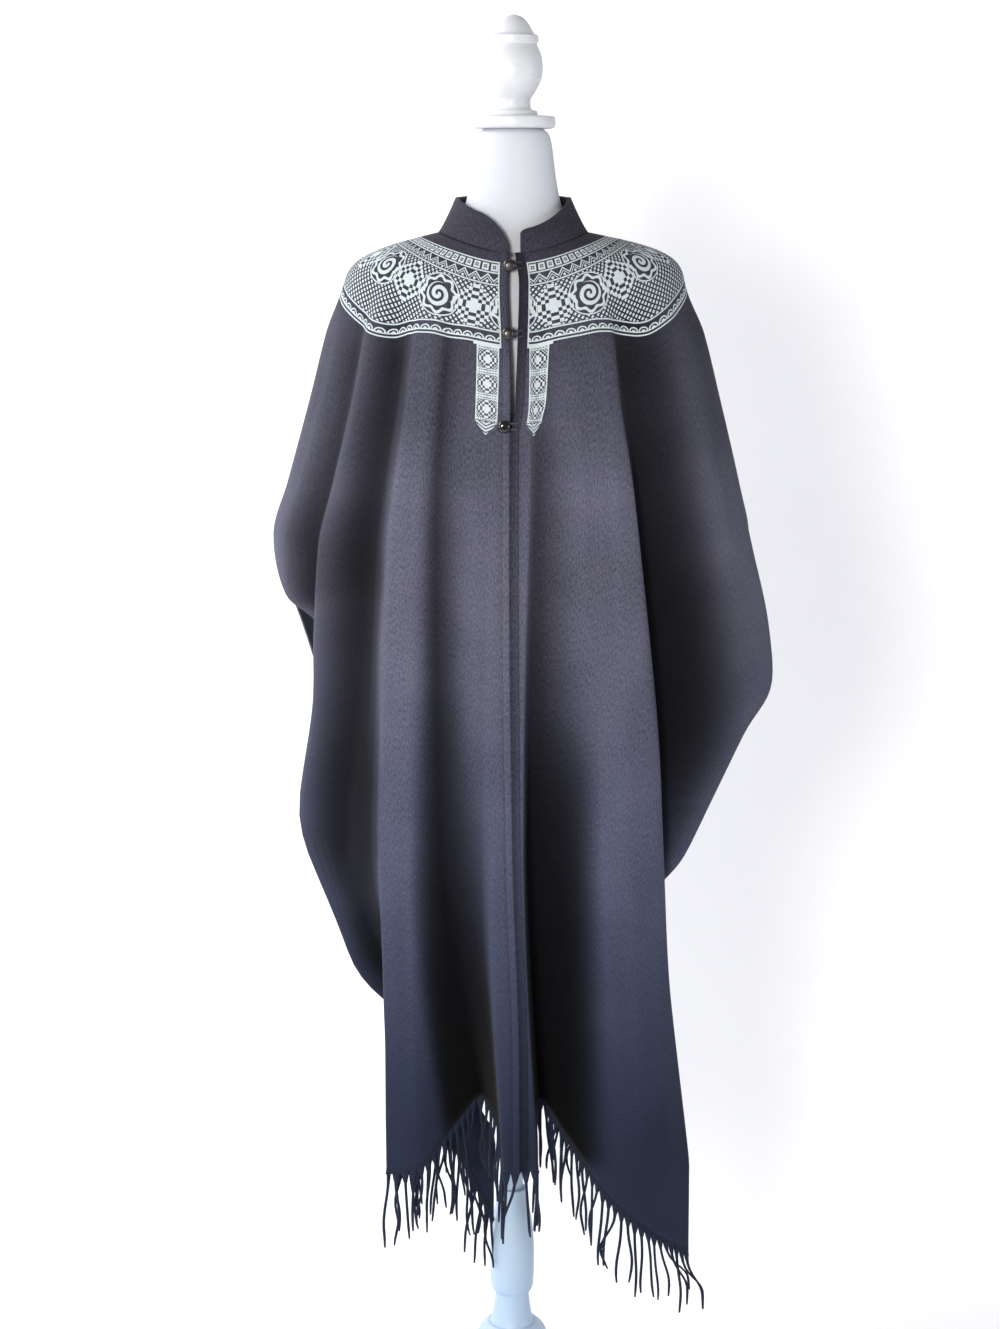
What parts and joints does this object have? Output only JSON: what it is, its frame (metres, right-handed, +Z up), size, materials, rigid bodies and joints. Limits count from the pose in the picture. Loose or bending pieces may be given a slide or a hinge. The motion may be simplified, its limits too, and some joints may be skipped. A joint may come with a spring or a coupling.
{
  "type": "fringed poncho on a dress form",
  "caption": "Long wool poncho with a stand collar, open knobbed front and fringed hems, draped on a limbless dress form with a turned stand.",
  "frame": {"origin": "centre of the stand's base, on the floor", "axes": "+Z up the stand's pole, -Y out of the garment's front, +X towards the wearer's left"},
  "size_m": [0.6598, 0.3263, 1.8813],
  "materials": {
    "wool": "brushed charcoal wool",
    "jersey": "white cotton jersey",
    "white_paint": "satin white paint on turned wood",
    "knob": "glossy dark horn-like plastic"
  },
  "bodies": {
    "root": {"front_right": "wool", "front_left": "wool", "back": "wool", "front_band_right": "wool", "front_band_left": "wool", "collar": "wool", "fringe_front_right": "wool", "fringe_front_left": "wool", "fringe_back": "wool", "button_1": "knob", "button_2": "knob", "button_3": "knob", "loop_1": "wool", "loop_2": "wool", "loop_3": "wool", "dress_form": "jersey", "neck_disc": "white_paint", "finial": "white_paint", "pole": "white_paint", "pedestal": "white_paint", "base": "white_paint"}
  },
  "joints": []
}
